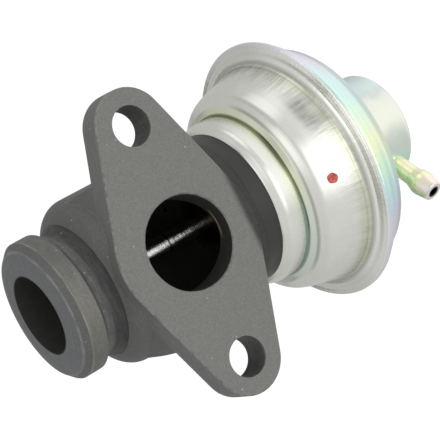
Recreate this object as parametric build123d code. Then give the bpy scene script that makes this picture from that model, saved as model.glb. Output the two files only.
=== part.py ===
from build123d import *
import math
import os

# Vacuum-operated exhaust gas recirculation valve.
#
# Frame: the origin is the centre of the gas port in the flange's mounting face. +X runs along the stem, from the
# pipe stub to the vacuum cap. The mounting face lies in Y = 0 and looks along -Y. The two bolt holes lie on Z.
# Every turned or pressed piece is drawn as (x, radius) corners about the stem axis.

# ---------------------------------------------------------------- driving dimensions, mm
# Mounting flange
bolt_spacing = 55.0
bolt_hole_d = 9.0           # clears an M8 stud
flange_thick = 6.4
lug_r = 8.45                # round ends, about the bolt holes
flange_waist_r = 17.6       # round middle, about the port
flange_edge = 0.3           # broken edge of the mounting face
boss_d = 15.0               # machined seat under each nut
boss_height = 1.4
spotface_d = 16.4           # cut into the saddle beside the boss
port_d = 20.8
port_bevel = 0.35
stem_height = 20.5          # stem axis behind the mounting face

# Pipe stub: chamfered clamp collar and the groove behind it
pipe_end_x = -29.7
pipe_bore_d = 18.6
pipe_face_d = 25.2          # flat ring at the pipe's end
collar_bevel_d = 29.9       # between the collar's two bevels
collar_bevel_depth = 0.6
collar_d = 32.8
collar_front_x = -27.6
collar_back_x = -23.5
collar_edge_round = 0.4
groove_d = 29.0
groove_floor_end_x = -20.9
groove_end_x = -17.9
groove_end_d = 32.0
groove_root_round = 1.0

# Gas chamber
barrel_d = 39.7
shoulder_x = -15.4          # cast slope at the pipe side ends here, before its rounding
shoulder_round = 4.4
bonnet_slope_len = 4.0      # cast slope at the vacuum side
bonnet_round = 4.0
bonnet_face_x = 19.5
bonnet_face_d = 37.6
saddle_start_x = -15.9      # the barrel's sides run straight down to the flange between these
saddle_end_x = 17.4
saddle_draft = 17.0         # degrees, of the saddle's flanks from the flange's edge
chamber_d = 31.0
chamber_start_x = -11.0
chamber_cone_x = 10.5
chamber_end_x = 16.8
chamber_end_d = 17.2
chamber_round = 2.5
spigot_d = 18.0
spigot_end_x = 28.2
spigot_round = 0.5

# Seat ring, poppet and stem
seat_d = 17.8               # pressed into its own step behind the pipe bore
seat_len = 4.5
seat_bore_d = 14.0
seat_cone = 0.9
seat_gap = 0.12             # shut, the poppet stops this far from the seat, square to the cone
poppet_d = 17.2
poppet_rim = 0.9
poppet_nose = 1.0
poppet_face_x = -13.2       # gas side of the head, and the stem's end
poppet_hub_d = 8.0
poppet_hub_end_x = -6.6
stem_thick_d = 5.0
stem_thin_d = 4.4
stem_step_x = 6.5
stem_thread_d = 3.0
stem_edge = 0.3
lift = 5.0                  # full travel of the valve

# Stem guide and its seal
guide_flange_d = 12.0
guide_flange_thick = 1.3
guide_proud = 0.3           # its face stands this far into the chamber
guide_d = 9.0
guide_len = 5.2             # behind its flange
guide_lead = 0.3
guide_clearance = 0.05      # radial running clearance on the stem
casting_stem_gap = 0.35     # radial, where the stem passes the casting itself
seal_d = 11.0
seal_thick = 2.2
seal_clearance = 0.05
seal_lip_depth = 0.8
retainer_thick = 0.6
retainer_skirt = 1.5
retainer_hole_d = 6.0

# Heat insulator
insulator_len = 4.6
insulator_d = 37.3
insulator_edge = 0.3
locating_clearance = 0.05   # radial, on the casting's spigot

# Lower housing: cup, bowl and crimped rim, outer skin
sheet = 0.8
cup_d = 41.2
cup_bend = 2.0
cup_top_x = 29.9
bowl_floor_d = 45.8
bowl_floor_x = 30.8
bowl_slope_d = 50.2         # where the shoulder's slope breaks
bowl_slope_x = 32.1
bowl_shoulder_d = 52.0
bowl_shoulder_x = 34.6
bowl_top_x = 42.3
bowl_bend = 2.6
rim_face_x = 43.5
rim_lead = 1.2              # the crease's face leans outwards by this before the rim's flat
rim_bend = 1.4
rim_d = 65.6
rim_width = 4.85            # from the bowl's top out to the rim's edge
rim_step = 1.2
rim_step_x = 44.8
rim_step_round = 0.6
hem_gap = 0.5               # radial, round the rubber and the cover's flange
hem_lip_gap = 0.1           # radial, from the hem's edge to the cover's root rounding
crease_round = 1.2
cup_crease_round = 0.5
floor_bend = 1.0
vent_d = 3.0
vent_count = 2
vent_pitch = 50.0           # degrees

# Screws through housing and insulator
screw_count = 3
screw_start_angle = 30.0
screw_circle_d = 26.6
screw_d = 4.0
screw_len = 11.4
screw_head_d = 7.2
screw_head_thick = 2.4
screw_recess_d = 2.0
screw_clearance_d = 4.4
thread_depth = 5.4
washer_thick = 0.8
washer_d = 7.0
plate_thick = 1.5
plate_d = 36.0

# Upper cover: dome and cap, outer skin
clamp_width = 3.65          # from the cover's wall out to the rim's edge
cover_wall_x = 49.8
dome_shoulder_inset = 1.5   # from the cover's wall in to the dome's shoulder
dome_shoulder_x = 52.9
dome_top_x = 56.0
dome_top_d = 33.0
cap_d = 27.5
cap_end_x = 71.8
cap_end_round = 2.0
dome_bend = 2.4
dome_slope = 0.8
dome_shoulder_round = 2.2
cover_draft = 0.3
cover_root_round = 1.0

# Vacuum nipple, radial on the cap
nipple_x = 65.9
nipple_angle = 226.9        # degrees from +Y towards +Z
nipple_reach = 25.9         # tip from the stem axis
nipple_tube_d = 4.7
nipple_barb_d = 6.1
nipple_tip_d = 4.8
nipple_bore_d = 2.4
nipple_land_len = 1.1       # at the barb's full diameter
nipple_nose_len = 3.4
nipple_flare_len = 2.3
nipple_depth = 0.8          # stands this far inside the cap
nipple_edge = 0.3

# Diaphragm and what clamps it
rubber = 0.8
rubber_gap = 0.4
hole_clearance = 0.05       # radial, of the discs and washer on the thread
convolution_rise = 4.2
crown_share = 0.45          # of the convolution's width, the radius of its crown
centre_drop = 1.9           # centre of the diaphragm below its rim, valve shut
disc_thick = 1.2
upper_disc_d = 39.0
upper_disc_lip = 3.4
lower_disc_d = 36.0
lower_disc_lip = 2.0
disc_bend = 2.0
nut_washer_d = 18.4
nut_washer_thick = 1.5
nut_flats = 5.5
nut_thick = 2.4
nut_corner_d = 6.16         # its corners are turned off to this
thread_past_nut = 1.2

# Return spring and its upper seat
spring_wire_d = 1.7
spring_coil_d = 21.0        # mean
spring_turns = 6.0
top_seat_thick = 2.0
top_seat_d = 25.2
stop_post_d = 8.0
post_root_round = 1.0
post_end_round = 0.6
stop_clearance = 0.3

# ---------------------------------------------------------------- places worked out from them
stem_place = Plane(origin=(0, stem_height, 0), x_dir=(1, 0, 0), z_dir=(0, 0, 1)).location
guide_face_x = chamber_end_x - guide_proud
guide_seat_x = guide_face_x + guide_flange_thick     # back of the guide's flange
guide_end_x = guide_seat_x + guide_len
seal_x = spigot_end_x - seal_thick
insulator_end_x = bonnet_face_x + insulator_len
bowl_top_d = rim_d - 2 * rim_width
cover_wall_d = rim_d - 2 * clamp_width
rubber_x = rim_face_x + sheet                       # lower face of the clamped rubber
cover_flange_x = rubber_x + rubber                  # lower face of the cover's flange
rim_back_x = cover_flange_x + 2 * sheet             # the hem bears on the cover's flange
clamp_d = rim_d - 2 * (rim_step + sheet + hem_gap)  # rubber and cover flange inside the hem
hem_lip_d = cover_wall_d + 2 * (cover_draft + cover_root_round + hem_lip_gap)
centre_x = rubber_x - centre_drop                   # lower face of the rubber between its discs
lower_disc_x = centre_x - disc_thick
disc_top_x = centre_x + rubber + disc_thick
nut_x = disc_top_x + nut_washer_thick
stem_end_x = nut_x + nut_thick + thread_past_nut
top_seat_x = cap_end_x - sheet
spring_top_x = top_seat_x - top_seat_thick
floor_inside_x = insulator_end_x + sheet


# ---------------------------------------------------------------- shapes
def rounded_outline(corners):
    """Closed wire face through (x, y) corners. A third number rounds its corner, by less where a run is too short."""
    count = len(corners)
    points = [Vector(c[0], c[1]) for c in corners]
    rounds = [c[2] if len(c) == 3 else 0.0 for c in corners]
    ends = []                                       # where each corner's rounding starts and ends
    for i in range(count):
        before, here, after = points[i - 1], points[i], points[(i + 1) % count]
        to_before, to_after = before - here, after - here
        half = math.radians(to_before.get_angle(to_after)) / 2
        room = []
        for run, neighbour in ((to_before, rounds[i - 1]), (to_after, rounds[(i + 1) % count])):
            room.append(run.length * (0.49 if neighbour > 0 else 0.98))
        setback = min(rounds[i] / math.tan(half), *room) if rounds[i] > 0 else 0.0
        start = here + to_before.normalized() * setback
        end = here + to_after.normalized() * setback
        crown = here
        if setback > 0:
            radius = setback * math.tan(half)
            inwards = (to_before.normalized() + to_after.normalized()).normalized()
            crown = here + inwards * (radius / math.sin(half) - radius)
        ends.append((start, crown, end, setback))
    edges = []
    for i in range(count):
        start, crown, end, setback = ends[i]
        if setback > 0:
            edges.append(ThreePointArc(start, crown, end))
        edges.append(Line(end, ends[(i + 1) % count][0]))
    return make_face(Wire(edges))


def turned(corners, place=stem_place):
    """Solid of revolution about the stem axis, or about the X axis of another place, from (x, radius) corners."""
    return place * revolve(rounded_outline(corners), Axis.X)


def pressed(skin, thick):
    """Turned sheet-metal piece. `skin` is one face of the sheet as (x, radius, bend) corners from its first edge to
    its last, with the metal on the left hand; a bend is the skin's own radius there."""
    points = [Vector(c[0], c[1]) for c in skin]
    runs = [(b - a).normalized() for a, b in zip(points, points[1:])]
    normals = [Vector(-run.Y, run.X) for run in runs]
    back = [points[0] + normals[0] * thick]
    back_bends = [0.0]
    for before, after, run, next_run, corner in zip(normals, normals[1:], runs, runs[1:], skin[1:-1]):
        mitre = (before + after) / (1 + before.dot(after))
        back.append(Vector(corner[0], corner[1]) + mitre * thick)
        turns_left = run.X * next_run.Y - run.Y * next_run.X > 0
        bend = corner[2]
        back_bends.append(bend - thick if turns_left else bend + thick)
    back.append(points[-1] + normals[-1] * thick)
    back_bends.append(0.0)
    far_side = [(p.X, p.Y, bend) for p, bend in zip(back, back_bends)]
    return turned(list(skin) + far_side[::-1])


def around_stem(x, circle_d, count, start_angle=0.0):
    """Locations on a circle about the stem axis at x, each with its Z axis along +X."""
    places = []
    for i in range(count):
        angle = math.radians(start_angle + 360.0 * i / count)
        y = stem_height + circle_d / 2 * math.cos(angle)
        z = circle_d / 2 * math.sin(angle)
        places.append(Location(Plane(origin=(x, y, z), x_dir=(0, 1, 0), z_dir=(1, 0, 0))))
    return places


def bar(place, diameter, length):
    """Round bar from `place` along its Z axis."""
    return place * Pos(0, 0, length / 2) * Cylinder(diameter / 2, length)


# ---------------------------------------------------------------- gas side
def flange_outline():
    """Two lug arcs and two waist arcs joined by their common tangents, in the mounting plane."""
    half = bolt_spacing / 2
    lean = math.asin((flange_waist_r - lug_r) / half)
    across, along = math.cos(lean), math.sin(lean)
    lug_side = Vector(lug_r * across, half + lug_r * along)
    waist_side = Vector(flange_waist_r * across, flange_waist_r * along)
    lines = Curve() + ThreePointArc(
        (-lug_side.X, lug_side.Y), (0, half + lug_r), (lug_side.X, lug_side.Y))
    lines += Line((lug_side.X, lug_side.Y), (waist_side.X, waist_side.Y))
    lines += ThreePointArc((waist_side.X, waist_side.Y), (flange_waist_r, 0), (waist_side.X, -waist_side.Y))
    lines += Line((waist_side.X, -waist_side.Y), (lug_side.X, -lug_side.Y))
    lines += ThreePointArc((lug_side.X, -lug_side.Y), (0, -half - lug_r), (-lug_side.X, -lug_side.Y))
    lines += Line((-lug_side.X, -lug_side.Y), (-waist_side.X, -waist_side.Y))
    lines += ThreePointArc((-waist_side.X, -waist_side.Y), (-flange_waist_r, 0), (-waist_side.X, waist_side.Y))
    lines += Line((-waist_side.X, waist_side.Y), (-lug_side.X, lug_side.Y))
    return make_face(lines)


# Looks out of the mounting face, so an extrusion by a negative amount goes into the metal.
mounting_plane = Plane(origin=(0, 0, 0), x_dir=(1, 0, 0), z_dir=(0, -1, 0))


def make_saddle():
    """Cast block under the barrel: as wide as the barrel, with flanks that lean out from the edge of the flange."""
    flange_back = Plane(origin=(0, flange_thick, 0), x_dir=(1, 0, 0), z_dir=(0, 1, 0))
    height = stem_height - flange_thick
    flanks = extrude(flange_back * flange_outline(), height, taper=-saddle_draft)
    length = saddle_end_x - saddle_start_x
    plan = Pos((saddle_start_x + saddle_end_x) / 2, 0) * RectangleRounded(length, barrel_d, shoulder_round)
    return flanks & extrude(flange_back * plan, height)


def make_valve_body():
    """Iron casting: barrel and pipe stub turned about the stem axis, flange and its webs, then the machined bores."""
    barrel = turned([
        (pipe_end_x, 0),
        (pipe_end_x, pipe_face_d / 2),
        (pipe_end_x + collar_bevel_depth, collar_bevel_d / 2),
        (collar_front_x, collar_d / 2),
        (collar_back_x, collar_d / 2, collar_edge_round),
        (collar_back_x, groove_d / 2, groove_root_round),
        (groove_floor_end_x, groove_d / 2, groove_root_round),
        (groove_end_x, groove_end_d / 2),
        (shoulder_x, barrel_d / 2, shoulder_round),
        (bonnet_face_x - bonnet_slope_len, barrel_d / 2, bonnet_round),
        (bonnet_face_x, bonnet_face_d / 2),
        (bonnet_face_x, spigot_d / 2),
        (spigot_end_x, spigot_d / 2, spigot_round),
        (spigot_end_x, 0),
    ])
    outline = mounting_plane * flange_outline()
    flange = extrude(outline, -flange_thick)
    flange = chamfer(flange.faces().sort_by(Axis.Y)[0].edges(), flange_edge)
    body = barrel + flange + make_saddle()
    body -= turned([
        (pipe_end_x, 0),
        (pipe_end_x, pipe_bore_d / 2),
        (chamber_start_x - seat_len, pipe_bore_d / 2),
        (chamber_start_x - seat_len, seat_d / 2),
        (chamber_start_x, seat_d / 2),
        (chamber_start_x, chamber_d / 2, chamber_round),
        (chamber_cone_x, chamber_d / 2),
        (chamber_end_x, chamber_end_d / 2),
        (chamber_end_x, guide_flange_d / 2),
        (guide_seat_x, guide_flange_d / 2),
        (guide_seat_x, guide_d / 2),
        (guide_end_x, guide_d / 2),
        (guide_end_x, stem_thin_d / 2 + casting_stem_gap),
        (seal_x, stem_thin_d / 2 + casting_stem_gap),
        (seal_x, seal_d / 2),
        (spigot_end_x, seal_d / 2),
        (spigot_end_x, 0),
    ])
    port_face = Plane(origin=(0, 0, 0), x_dir=(1, 0, 0), z_dir=(0, 1, 0))
    body -= bar(port_face.location, port_d, stem_height)
    body -= port_face.location * Pos(0, 0, port_bevel / 2) * Cone(port_d / 2 + port_bevel, port_d / 2, port_bevel)
    for z in (-bolt_spacing / 2, bolt_spacing / 2):
        body -= Pos(0, flange_thick, z) * bar(port_face.location, spotface_d, stem_height - flange_thick)
        body += Pos(0, flange_thick, z) * bar(port_face.location, boss_d, boss_height)
        body -= Pos(0, 0, z) * bar(port_face.location, bolt_hole_d, flange_thick + boss_height)
    for place in around_stem(bonnet_face_x - thread_depth, screw_circle_d, screw_count, screw_start_angle):
        body -= bar(place, screw_d, thread_depth)
    return body


def make_valve_seat():
    """Steel ring pressed in behind the pipe bore, with the conical seat on its chamber side."""
    return turned([
        (chamber_start_x - seat_len, seat_bore_d / 2),
        (chamber_start_x - seat_len, seat_d / 2),
        (chamber_start_x, seat_d / 2),
        (chamber_start_x, seat_bore_d / 2 + seat_cone),
        (chamber_start_x - seat_cone, seat_bore_d / 2),
    ])


def make_stem_guide():
    """Flanged bronze bush, pressed into a counterbore in the chamber's end wall."""
    bore_r = stem_thin_d / 2 + guide_clearance
    return turned([
        (guide_face_x, bore_r, guide_lead),
        (guide_face_x, guide_flange_d / 2, guide_lead),
        (guide_seat_x, guide_flange_d / 2),
        (guide_seat_x, guide_d / 2),
        (guide_end_x, guide_d / 2),
        (guide_end_x, bore_r),
    ])


def make_guide_seal():
    """Ring that wipes the stem at the outer end of the guide, in the spigot's counterbore."""
    bore_r = stem_thin_d / 2 + seal_clearance
    return turned([
        (seal_x, bore_r),
        (seal_x, seal_d / 2),
        (spigot_end_x, seal_d / 2),
        (spigot_end_x, seal_d / 4 + bore_r / 2),
        (spigot_end_x - seal_lip_depth, bore_r),
    ])


def make_seal_retainer():
    """Pressed steel cap, pushed over the spigot to hold the seal in."""
    return turned([
        (spigot_end_x, retainer_hole_d / 2),
        (spigot_end_x + retainer_thick, retainer_hole_d / 2),
        (spigot_end_x + retainer_thick, spigot_d / 2 + retainer_thick, retainer_thick),
        (spigot_end_x - retainer_skirt, spigot_d / 2 + retainer_thick),
        (spigot_end_x - retainer_skirt, spigot_d / 2),
        (spigot_end_x, spigot_d / 2),
    ])


# ---------------------------------------------------------------- stem and poppet
def make_stem():
    """Ground rod in three steps: thick in the gas, thin through the guide, threaded through the diaphragm's discs."""
    return turned([
        (poppet_face_x, 0),
        (poppet_face_x, stem_thick_d / 2),
        (stem_step_x, stem_thick_d / 2, stem_edge),
        (stem_step_x, stem_thin_d / 2),
        (lower_disc_x, stem_thin_d / 2, stem_edge),
        (lower_disc_x, stem_thread_d / 2),
        (stem_end_x, stem_thread_d / 2, stem_edge),
        (stem_end_x, 0),
    ])


def make_poppet():
    """Valve head on the stem's gas end: a cone that matches the seat, a rim, and a hub on the chamber side."""
    away = seat_gap * math.sqrt(2)
    cone_x = chamber_start_x - seat_cone + away
    cone_len = (poppet_d - seat_bore_d) / 2
    return turned([
        (poppet_face_x, stem_thick_d / 2),
        (poppet_face_x, seat_bore_d / 2 - poppet_nose, poppet_nose),
        (cone_x, seat_bore_d / 2),
        (cone_x + cone_len, poppet_d / 2),
        (cone_x + cone_len + poppet_rim, poppet_d / 2, poppet_nose / 2),
        (cone_x + cone_len + poppet_rim + poppet_nose, poppet_hub_d / 2, poppet_nose),
        (poppet_hub_end_x, poppet_hub_d / 2, poppet_nose / 2),
        (poppet_hub_end_x, stem_thick_d / 2),
    ])


# ---------------------------------------------------------------- actuator housing
def make_heat_insulator():
    """Ring that keeps the hot casting off the actuator, with clearance holes for the screws."""
    ring = turned([
        (bonnet_face_x, spigot_d / 2 + locating_clearance),
        (bonnet_face_x, insulator_d / 2, insulator_edge),
        (insulator_end_x, insulator_d / 2, insulator_edge),
        (insulator_end_x, spigot_d / 2 + locating_clearance),
    ])
    for place in around_stem(bonnet_face_x, screw_circle_d, screw_count, screw_start_angle):
        ring -= bar(place, screw_clearance_d, insulator_len)
    return ring


def make_lower_housing():
    """Zinc-plated pressing: cup and bowl, with its edge rolled over the cover's flange as a hem."""
    shell = pressed([
        (rim_back_x, hem_lip_d / 2),
        (rim_back_x, rim_d / 2 - rim_step, rim_bend),
        (rim_step_x + rim_step, rim_d / 2 - rim_step, rim_step_round),
        (rim_step_x, rim_d / 2, rim_step_round),
        (rim_face_x, rim_d / 2, rim_bend),
        (rim_face_x, bowl_top_d / 2 + rim_lead, crease_round),
        (bowl_top_x, bowl_top_d / 2, crease_round),
        (bowl_shoulder_x, bowl_shoulder_d / 2, bowl_bend),
        (bowl_slope_x, bowl_slope_d / 2, bowl_bend),
        (bowl_floor_x, bowl_floor_d / 2, floor_bend),
        (cup_top_x, cup_d / 2, cup_crease_round),
        (insulator_end_x, cup_d / 2, cup_bend),
        (insulator_end_x, spigot_d / 2 + locating_clearance),
    ], sheet)
    for place in around_stem(insulator_end_x, screw_circle_d, screw_count, screw_start_angle):
        shell -= bar(place, screw_clearance_d, sheet)
    vent_x = (insulator_end_x + cup_bend + cup_top_x) / 2
    for i in range(vent_count):
        angle = vent_pitch * (i - (vent_count - 1) / 2)
        outward = Vector(0, 1, 0).rotate(Axis.X, angle)
        drill = Plane(origin=Vector(vent_x, stem_height, 0) + outward * (cup_d / 2 - cup_bend), z_dir=outward)
        shell -= bar(drill.location, vent_d, cup_bend * 2)
    return shell


def make_reinforcing_plate():
    """Steel ring in the bottom of the cup, under the screw heads."""
    plate = turned([
        (floor_inside_x, spigot_d / 2 + locating_clearance),
        (floor_inside_x, plate_d / 2, plate_thick / 3),
        (floor_inside_x + plate_thick, plate_d / 2, plate_thick / 3),
        (floor_inside_x + plate_thick, spigot_d / 2 + locating_clearance),
    ])
    for place in around_stem(floor_inside_x, screw_circle_d, screw_count, screw_start_angle):
        plate -= bar(place, screw_clearance_d, plate_thick)
    return plate


def make_lock_washers():
    """Plain spring-steel rings between the screw heads and the plate."""
    washers = []
    for place in around_stem(floor_inside_x + plate_thick, screw_circle_d, screw_count, screw_start_angle):
        washers.append(bar(place, washer_d, washer_thick) - bar(place, screw_clearance_d, washer_thick))
    return Compound(washers)


def make_housing_screws():
    """Pan-head screws with a hexagon socket, driven from inside the cup into the casting."""
    head_x = floor_inside_x + plate_thick + washer_thick
    screws = []
    for place in around_stem(head_x, screw_circle_d, screw_count, screw_start_angle):
        head = bar(place, screw_head_d, screw_head_thick)
        head = fillet(head.edges().filter_by(GeomType.CIRCLE).sort_by(Axis.X)[-1], screw_head_thick / 3)
        shank = bar(place * Pos(0, 0, -screw_len), screw_d, screw_len)
        socket = place * Pos(0, 0, screw_head_thick) * extrude(
            RegularPolygon(screw_recess_d / 2, 6, major_radius=False), -screw_head_thick / 2)
        screws.append(head + shank - socket)
    return Compound(screws)


def make_upper_cover():
    """Passivated pressing: flange inside the hem, shallow dome, and the deep cap that holds the spring."""
    return pressed([
        (cap_end_x, 0),
        (cap_end_x, cap_d / 2, cap_end_round),
        (dome_top_x, cap_d / 2, dome_bend),
        (dome_top_x - dome_slope, dome_top_d / 2, dome_bend),
        (dome_shoulder_x, cover_wall_d / 2 - dome_shoulder_inset, dome_shoulder_round),
        (cover_wall_x, cover_wall_d / 2, dome_shoulder_round),
        (cover_flange_x + sheet, cover_wall_d / 2 + cover_draft, cover_root_round),
        (cover_flange_x + sheet, clamp_d / 2),
    ], sheet)


nipple_out = Vector(0, 1, 0).rotate(Axis.X, nipple_angle)
nipple_place = Plane(origin=(nipple_x, stem_height, 0), x_dir=nipple_out, z_dir=(1, 0, 0)).location


def make_vacuum_nipple():
    """Barbed steel tube, brazed through the wall of the cap."""
    start = cap_d / 2 - sheet - nipple_depth
    nose_start = nipple_reach - nipple_nose_len
    land_start = nose_start - nipple_land_len
    return turned([
        (start, nipple_bore_d / 2),
        (start, nipple_tube_d / 2),
        (land_start - nipple_flare_len, nipple_tube_d / 2, nipple_flare_len),
        (land_start, nipple_barb_d / 2),
        (nose_start, nipple_barb_d / 2),
        (nipple_reach, nipple_tip_d / 2, nipple_edge),
        (nipple_reach, nipple_bore_d / 2),
    ], nipple_place)


def drilled_cover():
    """The cover with the hole that the nipple is brazed into."""
    hole = turned([(0, 0), (0, nipple_tube_d / 2), (nipple_reach, nipple_tube_d / 2), (nipple_reach, 0)], nipple_place)
    return make_upper_cover() - hole


# ---------------------------------------------------------------- diaphragm, its discs, nut and spring
def make_diaphragm():
    """Fabric-reinforced rubber: flat centre between the discs, one convolution towards the cap, clamped rim."""
    top_x = rubber_x + rubber
    inner_wall = upper_disc_d / 2 + rubber_gap + rubber
    outer_wall = cover_wall_d / 2 - sheet - rubber_gap * 2
    crown = (outer_wall - inner_wall) * crown_share
    return pressed([
        (centre_x + rubber, stem_thread_d / 2 + hole_clearance),
        (centre_x + rubber, inner_wall, rubber_gap * 2),
        (top_x + convolution_rise, inner_wall, crown),
        (top_x + convolution_rise, outer_wall, crown),
        (top_x, outer_wall, rubber_gap * 2),
        (top_x, clamp_d / 2),
    ], rubber)


def make_upper_disc():
    """Steel dish on the vacuum side of the rubber; the spring stands in it."""
    return pressed([
        (centre_x + rubber + upper_disc_lip, upper_disc_d / 2),
        (centre_x + rubber, upper_disc_d / 2, disc_bend),
        (centre_x + rubber, stem_thread_d / 2 + hole_clearance),
    ], disc_thick)


def make_lower_disc():
    """Steel dish on the air side of the rubber, against the stem's shoulder."""
    return pressed([
        (centre_x, stem_thread_d / 2 + hole_clearance),
        (centre_x, lower_disc_d / 2, disc_bend),
        (centre_x - lower_disc_lip, lower_disc_d / 2),
    ], disc_thick)


def make_nut_washer():
    """Thick washer under the nut, which also centres the spring."""
    return turned([
        (disc_top_x, stem_thread_d / 2 + hole_clearance),
        (disc_top_x, nut_washer_d / 2),
        (nut_x, nut_washer_d / 2, nut_washer_thick / 3),
        (nut_x, stem_thread_d / 2 + hole_clearance),
    ])


def make_stem_nut():
    """Hexagon nut that clamps the discs and the rubber on the stem."""
    place = Plane(origin=(nut_x, stem_height, 0), x_dir=(0, 1, 0), z_dir=(1, 0, 0)).location
    hexagon = place * extrude(RegularPolygon(nut_flats / 2, 6, major_radius=False), nut_thick)
    corners_off = turned([
        (nut_x, 0),
        (nut_x, nut_corner_d / 2),
        (nut_x + nut_thick, nut_corner_d / 2, nut_thick / 4),
        (nut_x + nut_thick, 0),
    ])
    return (hexagon & corners_off) - bar(place, stem_thread_d, nut_thick)


def make_return_spring():
    """Round-wire coil between the upper disc and the top seat, with its ends ground flat."""
    free = spring_top_x - disc_top_x
    pitch = free / spring_turns
    place = Plane(origin=(disc_top_x, stem_height, 0), x_dir=(0, 1, 0), z_dir=(1, 0, 0)).location
    coil = Helix(pitch, free, spring_coil_d / 2)
    wire = Plane(origin=coil @ 0, z_dir=coil % 0) * Circle(spring_wire_d / 2)
    spring = place * sweep(wire, coil)
    span = place * Pos(0, 0, free / 2) * Cylinder(spring_coil_d, free)
    return spring & span


def make_spring_seat():
    """Moulded seat at the closed end of the cap, with the post that stops the stem at full lift."""
    stop_x = stem_end_x + lift + stop_clearance
    flat_r = cap_d / 2 - cap_end_round
    return turned([
        (top_seat_x, 0),
        (top_seat_x, flat_r),
        (spring_top_x, top_seat_d / 2),
        (spring_top_x, stop_post_d / 2, post_root_round),
        (stop_x, stop_post_d / 2, post_end_round),
        (stop_x, 0),
    ])


pieces = {
    "valve_body": make_valve_body(),
    "valve_seat": make_valve_seat(),
    "stem_guide": make_stem_guide(),
    "guide_seal": make_guide_seal(),
    "seal_retainer": make_seal_retainer(),
    "stem": make_stem(),
    "poppet": make_poppet(),
    "heat_insulator": make_heat_insulator(),
    "lower_housing": make_lower_housing(),
    "reinforcing_plate": make_reinforcing_plate(),
    "lock_washers": make_lock_washers(),
    "housing_screws": make_housing_screws(),
    "upper_cover": drilled_cover(),
    "vacuum_nipple": make_vacuum_nipple(),
    "diaphragm": make_diaphragm(),
    "upper_disc": make_upper_disc(),
    "lower_disc": make_lower_disc(),
    "nut_washer": make_nut_washer(),
    "stem_nut": make_stem_nut(),
    "return_spring": make_return_spring(),
    "spring_seat": make_spring_seat(),
}
for node, solid in pieces.items():
    export_step(solid, f"parts/{node}.step")
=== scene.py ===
import math

import bmesh
import bpy
from mathutils import Matrix, Vector


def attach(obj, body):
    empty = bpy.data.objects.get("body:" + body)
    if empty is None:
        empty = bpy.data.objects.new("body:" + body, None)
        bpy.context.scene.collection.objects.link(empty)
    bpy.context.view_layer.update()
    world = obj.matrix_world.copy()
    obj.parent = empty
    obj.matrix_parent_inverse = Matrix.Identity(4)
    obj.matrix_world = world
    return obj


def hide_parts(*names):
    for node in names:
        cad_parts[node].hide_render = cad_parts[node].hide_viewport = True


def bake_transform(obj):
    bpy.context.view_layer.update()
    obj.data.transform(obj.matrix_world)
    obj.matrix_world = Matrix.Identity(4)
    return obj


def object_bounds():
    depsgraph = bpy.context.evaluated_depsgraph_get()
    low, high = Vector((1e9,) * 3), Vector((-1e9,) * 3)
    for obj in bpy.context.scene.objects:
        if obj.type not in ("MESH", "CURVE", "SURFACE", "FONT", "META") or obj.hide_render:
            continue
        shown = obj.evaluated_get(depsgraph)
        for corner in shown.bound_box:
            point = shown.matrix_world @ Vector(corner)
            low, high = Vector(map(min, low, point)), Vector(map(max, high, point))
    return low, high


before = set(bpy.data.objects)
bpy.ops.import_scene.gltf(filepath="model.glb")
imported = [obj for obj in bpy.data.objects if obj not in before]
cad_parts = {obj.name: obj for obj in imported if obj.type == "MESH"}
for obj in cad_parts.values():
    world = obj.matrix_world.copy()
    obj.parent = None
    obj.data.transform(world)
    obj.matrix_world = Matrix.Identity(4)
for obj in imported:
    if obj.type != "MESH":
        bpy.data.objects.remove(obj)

cad_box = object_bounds()


# ---------------------------------------------------------------- valve body casting
# Sand-cast iron with a machined mounting flange, stud bosses and pipe collar, then phosphated dark grey.
# The cut faces come out a shade paler than the cast skin, and the sharp edges wear back to bare grey.
def new_finish(name):
    """One finish: its material, its node tree and its shader."""
    material = bpy.data.materials.new(name)
    material.use_nodes = True
    tree = material.node_tree
    tree.nodes.clear()
    shader = tree.nodes.new("ShaderNodeBsdfPrincipled")
    out = tree.nodes.new("ShaderNodeOutputMaterial")
    tree.links.new(shader.outputs["BSDF"], out.inputs["Surface"])
    return material, tree, shader


def connect(node, inputs):
    """Each named input is given its number or colour, or is linked to a socket."""
    for key, value in inputs.items():
        if isinstance(value, bpy.types.NodeSocket):
            node.id_data.links.new(value, node.inputs[key])
        else:
            node.inputs[key].default_value = value


def add(tree, kind, inputs=None, **settings):
    """One node with its settings and its inputs."""
    node = tree.nodes.new(kind)
    for key, value in settings.items():
        setattr(node, key, value)
    connect(node, inputs or {})
    return node


def tree_of(*values):
    """The node tree that holds the first socket among the values."""
    return next(value.id_data for value in values if isinstance(value, bpy.types.NodeSocket))


def maths(operation, a, b=0.0):
    return add(tree_of(a, b), "ShaderNodeMath", {0: a, 1: b}, operation=operation).outputs[0]


def minus(a, b):
    return maths("SUBTRACT", a, b)


def one_by_one(operation, values):
    """The first value, with the operation done to it and each of the others in turn."""
    result = values[0]
    for value in values[1:]:
        result = maths(operation, result, value)
    return result


def plus(*values):
    return one_by_one("ADD", values)


def times(*values):
    """The product; of masks, it is one mask where all of them hold."""
    return one_by_one("MULTIPLY", values)


def most(*values):
    """The largest; of masks, it is one mask where any of them holds."""
    return one_by_one("MAXIMUM", values)


def apart(a, b):
    """The distance covered by going a one way and b square to it."""
    return maths("SQRT", plus(times(a, a), times(b, b)))


def between(value, low, high, at_low=0.0, at_high=1.0):
    """Goes smoothly from at_low to at_high as value goes from low to high."""
    ends = {"Value": value, "From Min": low, "From Max": high, "To Min": at_low, "To Max": at_high}
    return add(tree_of(value), "ShaderNodeMapRange", ends, interpolation_type="SMOOTHSTEP").outputs[0]


def below(value, full, none):
    """1 where value is under full, and 0 where it is over none."""
    return between(value, full, none, 1.0, 0.0)


def near_to(value, place, full, none):
    """1 within full of the place, and 0 beyond none."""
    return below(maths("ABSOLUTE", minus(value, place)), full, none)


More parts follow.
